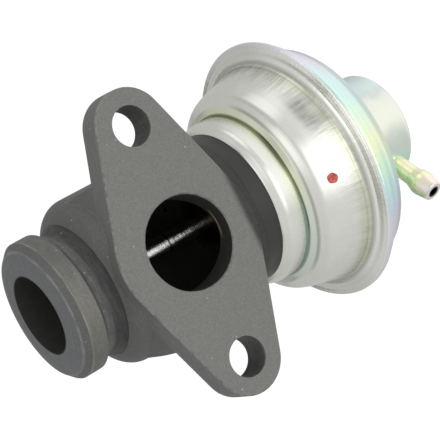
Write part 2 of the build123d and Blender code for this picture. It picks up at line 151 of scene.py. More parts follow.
def vector_of(x, y, z):
    return add(tree_of(x, y, z), "ShaderNodeCombineXYZ", {0: x, 1: y, 2: z}).outputs[0]


def parts_of(vector):
    return tuple(add(tree_of(vector), "ShaderNodeSeparateXYZ", {0: vector}).outputs)


def mixed(share, first, second, how="MIX"):
    """Colour first, with that share of colour second laid over it."""
    ends = [end if isinstance(end, bpy.types.NodeSocket) else (*end, 1.0) for end in (first, second)]
    inputs = {0: share, 6: ends[0], 7: ends[1]}
    return add(tree_of(share, *ends), "ShaderNodeMix", inputs, data_type="RGBA", blend_type=how).outputs[2]


def toned(share, colour, factors):
    """The colour, with that share of it multiplied by the factors."""
    return mixed(share, colour, mixed(1.0, colour, factors, "MULTIPLY"))


def colours_along(value, stops):
    """A ramp of colours; stops are (place, (red, green, blue))."""
    node = add(tree_of(value), "ShaderNodeValToRGB", {0: value})
    bands = node.color_ramp.elements
    while len(bands) < len(stops):
        bands.new(0.5)
    for band, (place, colour) in zip(bands, stops):
        band.position = place
        band.color = (*colour, 1.0)
    return node.outputs[0]


def ridges(value, low, high, stops):
    """A line of levels along value, as a ramp of greys from low to high; stops are (place, level)."""
    ends = {"Value": value, "From Min": low, "From Max": high}
    share = add(tree_of(value), "ShaderNodeMapRange", ends).outputs[0]
    return colours_along(share, [((place - low) / (high - low), (level,) * 3) for place, level in stops])


def grain(vector, scale, detail=2.0, roughness=0.5):
    """Even noise from 0 to 1."""
    inputs = {"Vector": vector, "Scale": scale, "Detail": detail, "Roughness": roughness}
    return add(tree_of(vector), "ShaderNodeTexNoise", inputs).outputs[0]


def drawn_out(ways, detail, roughness=0.5):
    """Noise that runs in lines. Its three ways are (value, grains for each unit of that value)."""
    return grain(vector_of(*(times(value, fineness) for value, fineness in ways)), 1.0, detail, roughness)


def in_mm(tree):
    """The surface point in millimetres, measured from the stem's axis."""
    spot = add(tree, "ShaderNodeTexCoord").outputs["Object"]
    inputs = {"Vector": spot, "Location": (0, -stem_height, 0), "Scale": (1000, 1000, 1000)}
    return add(tree, "ShaderNodeMapping", inputs).outputs[0]


def round_the_stem(point):
    """Along the stem, out from it, and the direction round it as two numbers that have no seam."""
    x, y, z = parts_of(point)
    out = maths("MAXIMUM", apart(y, z), 0.01)
    return x, out, maths("DIVIDE", y, out), maths("DIVIDE", z, out)


def worn_edge(tree, width):
    """1 along the sharp edges and 0 away from them; width in metres."""
    rounded = add(tree, "ShaderNodeBevel", {"Radius": width}, samples=4).outputs[0]
    flat = add(tree, "ShaderNodeNewGeometry").outputs["Normal"]
    same = add(tree, "ShaderNodeVectorMath", {0: rounded, 1: flat}, operation="DOT_PRODUCT").outputs["Value"]
    return between(same, 0.97, 0.78)


def raised(height, deep, strength=1.0, soft_edges=None):
    """A relief of that depth in metres, over edges rounded to soft_edges."""
    tree = tree_of(height)
    inputs = {"Strength": strength, "Distance": deep, "Height": height}
    if soft_edges:
        inputs["Normal"] = add(tree, "ShaderNodeBevel", {"Radius": soft_edges}, samples=4).outputs[0]
    return add(tree, "ShaderNodeBump", inputs).outputs[0]


def dress(node, material):
    """Gives a carried-over solid its finish."""
    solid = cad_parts[node]
    solid.data.materials.clear()
    solid.data.materials.append(material)


# sizes are in mm: x along the stem from the middle of the port, y and z and radii from the stem's axis
stem_height = 20.5
face_y, flange_back_y = -20.5, -14.1
pipe_end_x, collar_back_x, groove_end_x = -29.7, -23.5, -17.9
port_r, chamber_r, pipe_bore_r, collar_r = 10.4, 15.5, 9.3, 16.4
bolt_z, bolt_hole_r = 27.5, 4.5

phosphated_iron, tree, shader = new_finish("phosphated_iron")
point = in_mm(tree)
x, out, round_y, round_z = round_the_stem(point)
_, y, z = parts_of(point)
_, facing_y, _ = parts_of(add(tree, "ShaderNodeTexCoord").outputs["Normal"])
from_port = apart(x, z)
from_bolt = apart(minus(maths("ABSOLUTE", z), bolt_z), x)

# the parts of the casting, each as a mask
flange_face = times(below(y, face_y + 0.2, face_y + 0.4), below(facing_y, -0.95, -0.85))
broken_edge = times(below(y, face_y + 0.25, face_y + 0.5), between(facing_y, -0.92, -0.85),
                    below(facing_y, -0.6, -0.5))
flange_side = times(below(y, flange_back_y - 0.2, flange_back_y + 0.2), between(facing_y, -0.5, -0.4),
                    between(from_port, port_r + 0.8, port_r + 1.2))
bolt_wall = times(below(from_bolt, bolt_hole_r + 0.1, bolt_hole_r + 0.4),
                  between(y, face_y + 0.3, face_y + 0.9))
pipe_face = below(x, pipe_end_x + 0.5, pipe_end_x + 0.7)
collar = times(below(x, collar_back_x - 0.2, collar_back_x + 0.1),
               between(out, collar_r - 0.2, collar_r - 0.1))
groove = times(below(x, groove_end_x - 0.2, groove_end_x + 0.1),
               between(x, collar_back_x - 0.1, collar_back_x + 0.1))
# the part of the casting by the insulator, where shade is painted
shaded_far_side = between(x, 14.2, 16.0)
port_wall = times(below(from_port, port_r + 0.02, port_r + 0.1), between(y, face_y + 0.25, face_y + 0.4),
                  below(y, -11.0, -10.5))
# painted highlight: a thin brass-brown glint on the port's inner lip
port_lip_highlight = times(port_wall, near_to(y, -16.25, 0.10, 0.36), between(x, 7.5, 9.2), near_to(z, 0.3, 1.8, 4.2))
chamber_wall = times(below(out, chamber_r + 0.05, chamber_r + 0.2), between(x, -11.2, -11.0),
                     below(x, 17.0, 17.4), between(y, -14.0, -13.6))
pipe_bore = times(below(out, pipe_bore_r + 0.15, pipe_bore_r + 0.3), below(x, -10.6, -10.2))
# the walls of the port, chamber and pipe bore, which are made much darker
darker_inside = most(port_wall, chamber_wall, pipe_bore)

# the cast skin, what machining and handling left on it, and painted light and shade: a lighter side on the
# collar, shade with a light band in the groove, and shade on the far side by the insulator
fine = grain(point, 3.4, 3.0, 0.65)
mottled = grain(point, 0.45, 4.0, 0.6)
turned_lines = drawn_out(((x, 6.0), (out, 6.0), (round_z, 1.2)), 2.0)
scuffs = drawn_out(((x, 2.2), (round_y, 3.5), (round_z, 3.5)), 4.0, 0.6)
skin = mixed(mottled, (0.110, 0.111, 0.105), (0.160, 0.161, 0.152))
skin = mixed(flange_side, skin, (0.165, 0.166, 0.160))
skin = mixed(flange_face, skin, mixed(mottled, (0.188, 0.189, 0.178), (0.224, 0.225, 0.212)))
skin = mixed(collar, skin, mixed(scuffs, (0.110, 0.110, 0.102), (0.205, 0.204, 0.186)))
# painted highlight: the collar is made lighter along the side where round_z is near zero
skin = toned(times(collar, near_to(round_z, -0.05, 0.15, 0.75)), skin, (1.30, 1.29, 1.25))
skin = mixed(pipe_face, skin, mixed(turned_lines, (0.128, 0.131, 0.134), (0.180, 0.184, 0.188)))
# painted shade and light in the groove: dark at the collar and at its end wall, a lighter band in the
# middle; the streaks laid over it are its own marks
groove_painted_shade = ridges(x, -23.6, -17.8, [
    (-23.6, 0.050), (-22.7, 0.085), (-21.9, 0.150), (-20.9, 0.125), (-20.2, 0.070), (-18.3, 0.050),
    (-17.9, 0.022)])
groove_streaks = mixed(between(scuffs, 0.3, 0.7), (0.80, 0.80, 0.79), (1.28, 1.28, 1.24))
skin = mixed(groove, skin, mixed(1.0, groove_painted_shade, groove_streaks, "MULTIPLY"))
# painted shade: the casting is made much darker towards the insulator
skin = mixed(shaded_far_side, skin, (0.052, 0.052, 0.048))
pits = mixed(1.0, skin, (0.74, 0.74, 0.74), "MULTIPLY")
peaks = mixed(1.0, skin, (1.36, 1.36, 1.36), "MULTIPLY")
skin = mixed(between(fine, 0.25, 0.75, 0.0, 0.55), pits, peaks)

# edges worn to bare grey, bright specks of grit, the port, chamber and pipe bore much darker, the bolt
# holes' walls darker, and a painted highlight on the port's lip
worn = between(grain(point, 0.9, 3.0), 0.3, 0.62, 0.25, 1.0)
edge = times(most(worn_edge(tree, 0.00028), times(broken_edge, 0.45)), worn)
collar_lines = plus(near_to(x, -29.08, 0.05, 0.22), near_to(x, -27.6, 0.05, 0.22))
collar_lines = times(collar_lines, between(out, 14.2, 14.6), between(scuffs, 0.38, 0.66, 0.05, 0.45))
edge = times(most(edge, collar_lines), minus(1.0, shaded_far_side))
skin = mixed(edge, skin, (0.36, 0.36, 0.35))
grit = add(tree, "ShaderNodeTexVoronoi", {"Vector": point, "Scale": 0.42})
grit_kind = add(tree, "ShaderNodeSeparateColor", {0: grit.outputs["Color"]}).outputs[0]
sparks = times(below(grit.outputs["Distance"], 0.035, 0.075), between(grit_kind, 0.62, 0.70), 0.8)
skin = mixed(sparks, skin, (0.62, 0.62, 0.58))
skin = mixed(darker_inside, skin, mixed(mottled, (0.030, 0.030, 0.027), (0.050, 0.050, 0.045)))
skin = toned(bolt_wall, skin, (0.62, 0.62, 0.61))
# painted highlight on the port's lip
skin = mixed(port_lip_highlight, skin, (0.42, 0.37, 0.23))
relief = plus(fine, times(mottled, 0.8), times(groove, turned_lines))
connect(shader, {"Base Color": skin, "Metallic": 0.25, "Specular IOR Level": 0.35,
                 "Roughness": between(mottled, 0.3, 0.7, 0.52, 0.68),
                 "Normal": raised(relief, 0.00007, 0.55, 0.0002)})
dress("valve_body", phosphated_iron)


# ---------------------------------------------------------------- valve seat and poppet
# The seat is a hard steel ring pressed into the casting, its inside ground; the poppet is turned from
# heat-resisting steel and riveted to the stem. Both carry fine turning rings and a little heat tint.
def turned_steel(name, pale, dark, roughness, tint=None):
    """Steel with fine rings left by the tool, its dark lows and pale highs, and patches of a heat tint."""
    material, tree, shader = new_finish(name)
    point = in_mm(tree)
    x, out, _, round_z = round_the_stem(point)
    rings = drawn_out(((x, 9.0), (out, 9.0), (round_z, 0.8)), 3.0)
    cloud = grain(point, 0.35, 3.0)
    colour = mixed(rings, dark, pale)
    if tint:
        colour = mixed(between(cloud, 0.42, 0.7, 0.0, 0.7), colour, tint)
    connect(shader, {"Base Color": colour, "Metallic": 1.0,
                     "Roughness": between(cloud, 0.3, 0.7, roughness * 0.8, roughness * 1.25),
                     "Normal": raised(rings, 0.000012, 0.6, 0.00012)})
    return material


dress("valve_seat", turned_steel("ground_seat_steel", (0.60, 0.59, 0.57), (0.44, 0.43, 0.41), 0.32,
                                 tint=(0.42, 0.36, 0.27)))
dress("poppet", turned_steel("poppet_steel", (0.55, 0.54, 0.52), (0.40, 0.39, 0.37), 0.35,
                             tint=(0.36, 0.33, 0.36)))


# ---------------------------------------------------------------- stem
# Ground stainless rod in three steps: thick in the gas, thin through the guide, and threaded at the end.
# Its shank is polished bright, so it shows as a white streak in the dark port, crossed by one painted dark
# line of shade, as at a step from thick to thin.
step_shade_x, thread_start_x, thread_pitch = 4.9, 42.0, 0.5
stem_steel, tree, shader = new_finish("polished_stem_steel")
x, _, round_y, round_z = round_the_stem(in_mm(tree))
hairlines = drawn_out(((x, 34.0), (round_y, 0.6), (round_z, 0.6)), 2.0)
threaded = between(x, thread_start_x - 0.2, thread_start_x + 0.2)
pitch_lines = maths("SINE", times(x, 2 * math.pi / thread_pitch))
# painted shade: a thin dark line round the shank, standing for the shade at a step
step_shade_line = times(between(x, step_shade_x - 0.3, step_shade_x - 0.1),
                    below(x, step_shade_x + 0.1, step_shade_x + 0.35), 0.80)
colour = mixed(hairlines, (0.80, 0.79, 0.77), (0.92, 0.91, 0.88))
# painted shade: the grooves of the thread are darker
colour = mixed(times(threaded, below(pitch_lines, -0.9, 0.2)), colour, (0.30, 0.29, 0.27))
colour = mixed(step_shade_line, colour, (0.10, 0.095, 0.09))
relief = plus(times(hairlines, 0.22), times(threaded, pitch_lines, 0.5))
connect(shader, {"Base Color": colour, "Metallic": 1.0, "Roughness": 0.21, "Anisotropic": 0.30,
                 "Normal": raised(relief, 0.00015)})
dress("stem", stem_steel)


# ---------------------------------------------------------------- stem guide
# Flanged bush of sintered bronze, pressed into the casting and reamed to the stem. Its face looks into the
# port with tiny open pores and is coloured a dark brown; its sharp edges are given pale bronze as a painted
# highlight, the glint of its rim.
guide_bronze, tree, shader = new_finish("sintered_bronze")
point = in_mm(tree)
pores = between(grain(point, 5.0, 2.0), 0.36, 0.46)
cloud = grain(point, 0.5, 3.0)
colour = mixed(cloud, (0.10, 0.075, 0.045), (0.17, 0.12, 0.065))
colour = mixed(pores, (0.05, 0.035, 0.02), colour)
# painted highlight: the sharp edges are given pale bronze, for the glint of the rim
colour = mixed(worn_edge(tree, 0.00035), colour, (0.78, 0.56, 0.26))
connect(shader, {"Base Color": colour, "Metallic": 1.0, "Roughness": between(cloud, 0.3, 0.7, 0.34, 0.48),
                 "Normal": raised(pores, 0.00002, 0.5, 0.00025)})
dress("stem_guide", guide_bronze)


# ---------------------------------------------------------------- stem seal and its retainer
# A black moulded ring wipes the stem above the guide. A thin pressed steel cap with a short skirt holds it
# on the casting's spigot.
def moulded_black(name, pale, dark, roughness, speck_fineness=2.6, speck_depth=0.00002):
    """Black rubber or plastic with a fine speckle; its depth is in metres."""
    material, tree, shader = new_finish(name)
    point = in_mm(tree)
    speck = grain(point, speck_fineness, 3.0)
    cloud = grain(point, 0.22, 3.0)
    connect(shader, {"Base Color": mixed(plus(times(speck, 0.5), times(cloud, 0.5)), dark, pale),
                     "Roughness": between(cloud, 0.3, 0.7, roughness - 0.06, roughness + 0.08),
                     "Normal": raised(speck, speck_depth, 0.4, 0.0002)})
    return material, shader


seal_rubber, _ = moulded_black("seal_rubber", (0.040, 0.039, 0.037), (0.018, 0.018, 0.017), 0.58)
dress("guide_seal", seal_rubber)
dress("seal_retainer", turned_steel("pressed_retainer_steel", (0.62, 0.61, 0.58), (0.50, 0.49, 0.46), 0.30))


# ---------------------------------------------------------------- heat insulator
# Moulded black phenolic ring between the hot casting and the pressed housing. It is turned smooth outside,
# with a slight satin sheen and a few pale scuffs on its edges.
insulator_black, shader = moulded_black("phenolic_black", (0.031, 0.031, 0.028), (0.017, 0.017, 0.015), 0.42,
                                        speck_fineness=1.8, speck_depth=0.000012)
tree = insulator_black.node_tree
scuffed = times(worn_edge(tree, 0.0002), between(grain(in_mm(tree), 0.8, 3.0), 0.45, 0.65), 0.25)
body_colour = shader.inputs["Base Color"].links[0].from_socket
connect(shader, {"Base Color": mixed(scuffed, body_colour, (0.12, 0.12, 0.11))})
dress("heat_insulator", insulator_black)


# ---------------------------------------------------------------- lower housing
# Deep-drawn steel cup and bowl whose rim is hemmed over the cover, zinc plated bright. Drawing leaves faint
# streaks along the walls. The dark crease at the cup's foot, the dark rings and patches round the bowl and
# the bands on the rim's face are painted shade and reflection.
def leaning(normal, round_y, round_z, lean):
    """The normal leaned away from the stem's axis by that much, where the sheet swells a little."""
    tree = tree_of(normal)
    outwards = {0: vector_of(0, round_y, round_z), "Scale": lean}
    away = add(tree, "ShaderNodeVectorMath", outwards, operation="SCALE").outputs[0]
    leant = add(tree, "ShaderNodeVectorMath", {0: normal, 1: away}, operation="ADD").outputs[0]
    return add(tree, "ShaderNodeVectorMath", {0: leant}, operation="NORMALIZE").outputs[0]


def turn_round(round_y, round_z, drift):
    """The share of a turn round the stem, from 0 to 1, pushed to and fro by the drift."""
    turn = times(maths("ARCTAN2", round_z, round_y), 0.5 / math.pi)
    turn = plus(turn, times(minus(drift, 0.5), 0.07))
    return maths("FRACT", plus(turn, 2.0))


def wall_film(turn):
    """The colours of the passivation film round the cover, which also creeps over the hem's outside."""
    return colours_along(turn, [
        (0.00, (0.76, 0.88, 0.80)), (0.12, (0.84, 0.79, 0.88)), (0.22, (0.74, 0.84, 0.90)),
        (0.30, (0.84, 0.80, 0.90)), (0.367, (0.82, 0.80, 0.88)), (0.40, (0.70, 0.88, 0.88)),
        (0.433, (0.66, 0.89, 0.83)), (0.467, (0.74, 0.91, 0.70)), (0.50, (0.84, 0.90, 0.58)),
        (0.533, (0.62, 0.88, 0.70)), (0.567, (0.60, 0.82, 0.89)), (0.60, (0.80, 0.77, 0.88)),
        (0.72, (0.74, 0.88, 0.74)), (0.86, (0.68, 0.83, 0.88)), (1.00, (0.76, 0.88, 0.80))])


# the cup's wall and top, the bowl's top, and the rim's face, step and edge
cup_r, cup_top_x, bowl_top_x = 20.6, 29.9, 42.3
rim_face_x, rim_step_x, rim_r = 43.5, 44.8, 32.8

bright_zinc, tree, shader = new_finish("bright_zinc")
point = in_mm(tree)
x, out, round_y, round_z = round_the_stem(point)
drawn = drawn_out(((x, 0.16), (round_y, 26.0), (round_z, 26.0)), 3.0, 0.6)
rolled = drawn_out(((x, 5.0), (out, 5.0), (round_z, 0.9)), 3.0)
cloud = grain(point, 0.16, 4.0, 0.6)
in_bowl = between(x, cup_top_x - 1.7, cup_top_x - 0.5)
on_rim = between(x, bowl_top_x - 0.9, bowl_top_x - 0.6)
low_side = between(round_y, -0.30, -0.62)
colour = mixed(cloud, (0.76, 0.765, 0.705), (0.86, 0.865, 0.81))

# the rim's face is paler; the bowl's wall under the rim takes an olive tint mixed with painted shade,
# strongest on the side toward the mounting face
colour = mixed(between(out, 28.8, 29.3), colour, (0.93, 0.935, 0.89))
rim_tint_and_shade = times(between(x, bowl_top_x - 3.7, bowl_top_x - 0.7), below(out, 28.3, 28.7),
                 between(round_y, -0.60, -0.25, 1.0, 0.35))
colour = mixed(times(rim_tint_and_shade, between(drawn, 0.25, 0.75, 0.45, 0.95)), colour, (0.60, 0.615, 0.46))

# a band of thicker yellow-green film lies on the floor round the foot of the cup
film = times(between(x, cup_top_x - 2.9, cup_top_x - 0.5), below(out, cup_r + 1.4, cup_r + 2.6), 0.85)
film_colour = mixed(between(round_z, -0.45, -0.05), (0.72, 0.80, 0.69), (0.80, 0.83, 0.62))
colour = mixed(film, colour, film_colour)

# the die left fine lines along the wall, darkest under the rim
lines = times(between(x, 35.0, 40.0), between(drawn, 0.42, 0.62, 0.0, 0.55))
lines = times(lines, between(round_z, -0.1, 0.35, 0.25, 1.0), below(out, 28.0, 28.3))
colour = mixed(lines, colour, (0.52, 0.53, 0.49))

# painted shade: the crease at the foot of the cup is dark olive in its root
painted_crease_shade = times(between(x, cup_top_x - 1.0, cup_top_x - 0.15), below(out, cup_r + 0.2, cup_r + 0.75))
crease_shade_colour = mixed(between(round_z, -0.35, -0.1), (0.27, 0.35, 0.29), (0.19, 0.22, 0.12))
colour = mixed(painted_crease_shade, colour, crease_shade_colour)

# painted shade and reflection: dark rings at the foot of the bowl, and two dark patches, where the bent
# sheet mirrors the darker parts beside it
painted_outer_ring = times(near_to(out, 24.8, 0.1, 0.5), between(round_z, 0.0, 0.3, 0.0, 0.4))
painted_dark_rings = times(in_bowl, most(near_to(out, 23.0, 0.08, 0.62), painted_outer_ring), low_side, 0.72)
painted_dark_patch = times(near_to(x, 38.2, 0.6, 2.6), near_to(round_z, 0.50, 0.06, 0.24),
                   between(round_y, -0.2, -0.5), between(drawn, 0.2, 0.8, 0.55, 1.0), 0.75)
painted_foot_shade = times(in_bowl, below(out, 22.4, 23.0), near_to(round_z, 0.36, 0.05, 0.32), low_side, 0.62)
colour = toned(most(painted_dark_rings, painted_dark_patch, painted_foot_shade), colour, (0.46, 0.475, 0.45))
# painted shade: the rim's face is darker except on the side toward the mounting face
colour = toned(times(on_rim, between(round_y, -0.55, -0.15), 0.8), colour, (0.78, 0.79, 0.77))

# the hem takes the cover's colours outside, and the rim's face carries bands of painted light and shade
hem_edge = times(between(out, rim_r - 0.4, rim_r - 0.1), between(x, rim_face_x, rim_face_x + 0.3))
hem_side = most(hem_edge, between(x, rim_step_x - 0.4, rim_step_x))
colour = mixed(hem_side, colour, wall_film(turn_round(round_y, round_z, grain(point, 0.8, 3.0))))
rim_painted_bands = ridges(out, 27.6, 33.0, [
    (27.6, 1.0), (27.78, 0.80), (27.9, 1.0), (28.1, 0.97), (28.35, 0.74), (28.7, 0.78), (29.0, 1.0),
    (29.8, 1.0), (30.3, 0.95), (30.6, 0.95), (31.1, 1.0), (32.0, 0.97), (32.3, 1.0)])
colour = toned(on_rim, colour, rim_painted_bands)

# streaks and rings in relief, and swells too shallow for the solid: in the cup, on the floor and on the rim
marks = plus(times(drawn, between(x, 34.0, 41.0, 0.2, 5.0)), times(rolled, 0.35))
cup_lean = times(below(x, 24.0, 24.9), below(out, cup_r + 0.1, cup_r + 0.2))
floor_lean = times(between(out, cup_r + 0.3, cup_r + 0.8, 0.0, 0.75), between(out, 22.3, 23.0, 1.0, 0.45),
                   below(out, 24.0, 25.0))
rim_lean = ridges(out, 28.4, 33.0, [
    (28.4, 0.0), (28.9, 0.30), (29.2, 0.62), (29.6, 0.62), (30.0, 0.15), (30.3, 0.0),
    (31.0, 0.03), (31.3, 0.50), (31.9, 0.45), (32.3, 0.40), (32.6, 0.2)])
lean = plus(cup_lean, times(floor_lean, in_bowl), times(on_rim, rim_lean))
connect(shader, {"Base Color": colour, "Metallic": 1.0, "Roughness": between(cloud, 0.3, 0.7, 0.22, 0.31),
                 "Normal": leaning(raised(marks, 0.00005, 0.35, 0.00015), round_y, round_z, lean)})
dress("lower_housing", bright_zinc)


# ---------------------------------------------------------------- inspection dot
# A dab of red paint on the bowl's wall, put on by hand when the valve has passed its test. It lies as a
# thin film on the sheet with a thicker rim where it dried.
def piece_of(name, data):
    """An object that holds the mesh, light or camera, put in the scene."""
    piece = bpy.data.objects.new(name, data)
    bpy.context.scene.collection.objects.link(piece)
    return piece


dot_x, dot_angle, dot_r, dot_steps = 35.96, math.radians(186.0), 1.28, 28
paint_thickness = (0.06, 0.06, 0.06, 0.06, 0.06, 0.09, -0.02)      # from its middle to its edge
wall_foot_x, wall_foot_r, wall_rise, wall_len = 34.6, 26.0, 27.95 - 26.0, 7.7
mesh = bpy.data.meshes.new("inspection_dot")
form = bmesh.new()
dot_rings = []
for ring, thickness in enumerate(paint_thickness):
    share = ring / (len(paint_thickness) - 1)
    row = []
    for step in range(dot_steps if ring else 1):
        turn = 2 * math.pi * step / dot_steps
        reach = dot_r * share * (1 + 0.05 * math.sin(2 * turn + 0.6) + 0.035 * math.sin(5 * turn + 1.7))
        along = dot_x + reach * math.cos(turn)
        wall_r = wall_foot_r + (along - wall_foot_x) * wall_rise / wall_len
        angle = dot_angle + reach * math.sin(turn) / wall_r
        paint_r = wall_r + thickness
        row.append(form.verts.new((along / 1000, (stem_height + paint_r * math.cos(angle)) / 1000,
                                   paint_r * math.sin(angle) / 1000)))
    dot_rings.append(row)
for inner, outer in zip(dot_rings, dot_rings[1:]):
    for step in range(dot_steps):
        after = (step + 1) % dot_steps
        if len(inner) == 1:
            form.faces.new((inner[0], outer[step], outer[after]))
        else:
            form.faces.new((inner[step], outer[step], outer[after], inner[after]))
bmesh.ops.recalc_face_normals(form, faces=form.faces)
form.faces.ensure_lookup_table()
if form.faces[0].normal.dot(Vector((0, math.cos(dot_angle), math.sin(dot_angle)))) < 0:
    bmesh.ops.reverse_faces(form, faces=form.faces)
form.to_mesh(mesh)
form.free()
for face in mesh.polygons:
    face.use_smooth = True
dot = piece_of("inspection_dot", mesh)
red_paint, tree, shader = new_finish("red_marking_paint")
thin = between(grain(in_mm(tree), 1.5, 3.0), 0.35, 0.7)
connect(shader, {"Base Color": mixed(thin, (0.42, 0.045, 0.030), (0.70, 0.17, 0.11)), "Roughness": 0.42,
                 "Normal": raised(thin, 0.00003, 0.4)})
dot.data.materials.append(red_paint)
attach(dot, "valve_housing")


# ---------------------------------------------------------------- clamp plate, lock washers and screws
# Inside the housing three socket screws pull a steel plate, the sheet and the insulator down on the casting.
# The plate is grey rolled steel; the screws and their split washers are zinc plated.
dress("reinforcing_plate", turned_steel("rolled_plate_steel", (0.50, 0.50, 0.48), (0.38, 0.38, 0.36), 0.38))
screw_zinc, tree, shader = new_finish("plated_screw_steel")
point = in_mm(tree)
cloud = grain(point, 0.7, 3.0)
colour = mixed(cloud, (0.52, 0.51, 0.44), (0.68, 0.67, 0.61))
colour = mixed(worn_edge(tree, 0.0002), colour, (0.82, 0.82, 0.78))
connect(shader, {"Base Color": colour, "Metallic": 1.0, "Roughness": between(cloud, 0.3, 0.7, 0.26, 0.40),
                 "Normal": raised(grain(point, 3.0, 2.0), 0.00002, 0.4, 0.0002)})
dress("lock_washers", screw_zinc)
dress("housing_screws", screw_zinc)


# ---------------------------------------------------------------- upper cover
# Pressed steel cover with a shallow dome and the deep cap that holds the spring, zinc plated and then
# passivated. The passivation film shows pale colours that drift round the cap from lilac to green and gold.
def cap_film(turn):
    """The colours of the film round the cap's wall."""
    return colours_along(turn, [
        (0.00, (0.80, 0.88, 0.82)), (0.15, (0.84, 0.82, 0.90)), (0.28, (0.74, 0.89, 0.88)),
        (0.367, (0.73, 0.88, 0.84)), (0.40, (0.66, 0.72, 0.70)), (0.433, (0.86, 0.88, 0.74)),
        (0.50, (0.86, 0.89, 0.74)), (0.533, (0.70, 0.79, 0.68)), (0.567, (0.70, 0.79, 0.68)),
        (0.60, (0.66, 0.88, 0.74)), (0.667, (0.66, 0.88, 0.74)), (0.80, (0.82, 0.83, 0.90)),
        (1.00, (0.80, 0.88, 0.82))])


dome_top_x, cap_end_x = 56.0, 71.8
passivated_zinc, tree, shader = new_finish("passivated_zinc")
point = in_mm(tree)
x, out, round_y, round_z = round_the_stem(point)
streaky = drawn_out(((x, 0.30), (round_y, 2.6), (round_z, 2.6)), 4.0, 0.55)
rolled = drawn_out(((x, 4.0), (out, 4.0), (round_z, 0.9)), 3.0)
cloud = grain(point, 0.2, 4.0, 0.6)
turn = turn_round(round_y, round_z, streaky)
colour = mixed(between(x, dome_top_x - 1.6, dome_top_x - 0.4), wall_film(turn), cap_film(turn))
# the film on the cap's closed end is even, without the colours that run round its wall
at_cap_end = times(between(x, cap_end_x - 1.8, cap_end_x - 0.2), below(out, 5.0, 13.0))
end_colour = mixed(between(grain(point, 0.12, 3.0), 0.35, 0.65), (0.76, 0.87, 0.82), (0.84, 0.84, 0.86))
colour = mixed(at_cap_end, colour, end_colour)
colour = mixed(between(cloud, 0.25, 0.75, 0.0, 0.35), colour, (0.80, 0.81, 0.79))
colour = mixed(1.0, colour, (0.95, 0.95, 0.96), "MULTIPLY")
# painted shade: a darker ring where the cover's wall meets the dome
dome_crease_shade = times(near_to(x, 51.3, 0.4, 1.4), between(out, 20.0, 22.0))
colour = toned(dome_crease_shade, colour, (0.78, 0.77, 0.80))
connect(shader, {"Base Color": colour, "Metallic": 1.0, "Roughness": between(cloud, 0.3, 0.7, 0.23, 0.33),
                 "Normal": raised(rolled, 0.00003, 0.35, 0.00015)})
dress("upper_cover", passivated_zinc)


# ---------------------------------------------------------------- vacuum nipple
# Turned steel tube with one barb for the hose, brazed into the cap and passivated with it. The film is
# thicker here, so its gold, green and rose are stronger, laid out with painted light and shade: pale yellow
# on the upper side and dark teal below; the cut tip is nearly bare.
nipple_x, nipple_angle, nipple_reach, nipple_bore_r = 65.9, math.radians(226.9), 25.9, 1.2
nipple_film, tree, shader = new_finish("passivated_nipple")
point = in_mm(tree)
x, y, z = parts_of(point)
along = plus(times(y, math.cos(nipple_angle)), times(z, math.sin(nipple_angle)))
side = minus(times(y, math.sin(nipple_angle)), times(z, math.cos(nipple_angle)))
across = minus(x, nipple_x)
drift = grain(point, 0.5, 3.0)
# film colours with painted light and shade: pale yellow along the upper side, dark teal below
film_and_lit_side = plus(times(side, 0.16), times(drift, 0.5))
colour = colours_along(between(film_and_lit_side, -0.25, 0.75), [
    (0.0, (0.25, 0.52, 0.62)), (0.28, (0.36, 0.66, 0.50)), (0.46, (0.74, 0.76, 0.36)),
    (0.60, (0.90, 0.95, 0.56)), (0.82, (0.90, 0.96, 0.60)), (1.0, (0.92, 0.88, 0.62))])
rosy_nose = times(between(along, nipple_reach - 3.5, nipple_reach - 2.3), between(film_and_lit_side, 0.2, 0.45))
colour = mixed(rosy_nose, colour, (0.98, 0.86, 0.74))
bare_tip = between(along, nipple_reach - 0.9, nipple_reach - 0.4)
colour = mixed(bare_tip, colour, (0.86, 0.80, 0.74))
# painted shade: the inside of the bore at the tip is made nearly black
painted_bore_shade = times(below(apart(side, across), nipple_bore_r + 0.22, nipple_bore_r + 0.42),
                between(along, nipple_reach - 1.9, nipple_reach - 1.3))
colour = mixed(painted_bore_shade, colour, (0.05, 0.045, 0.04))
tool_marks = drawn_out(((along, 6.0), (side, 1.0), (across, 1.0)), 2.0)
connect(shader, {"Base Color": colour, "Metallic": 1.0, "Roughness": between(drift, 0.3, 0.7, 0.18, 0.28),
                 "Normal": raised(tool_marks, 0.00002, 0.4, 0.0005)})
dress("vacuum_nipple", nipple_film)


# ---------------------------------------------------------------- diaphragm discs, washer and nut
# Two pressed steel dishes grip the rubber between them on the stem's shoulder, with a thick washer and a
# hexagon nut on top. All are plain zinc-plated steel that nobody sees once the housing is hemmed.
inner_steel = turned_steel("plated_disc_steel", (0.66, 0.66, 0.62), (0.54, 0.54, 0.50), 0.30)
for piece in ("upper_disc", "lower_disc", "nut_washer", "stem_nut"):
    dress(piece, inner_steel)


# ---------------------------------------------------------------- diaphragm
# Rubber moulded over woven fabric: a flat middle between the dishes, one rolling fold, and a rim clamped in
# the hem. It is made in sixteen sectors.
sectors, steps_each = 16, 7
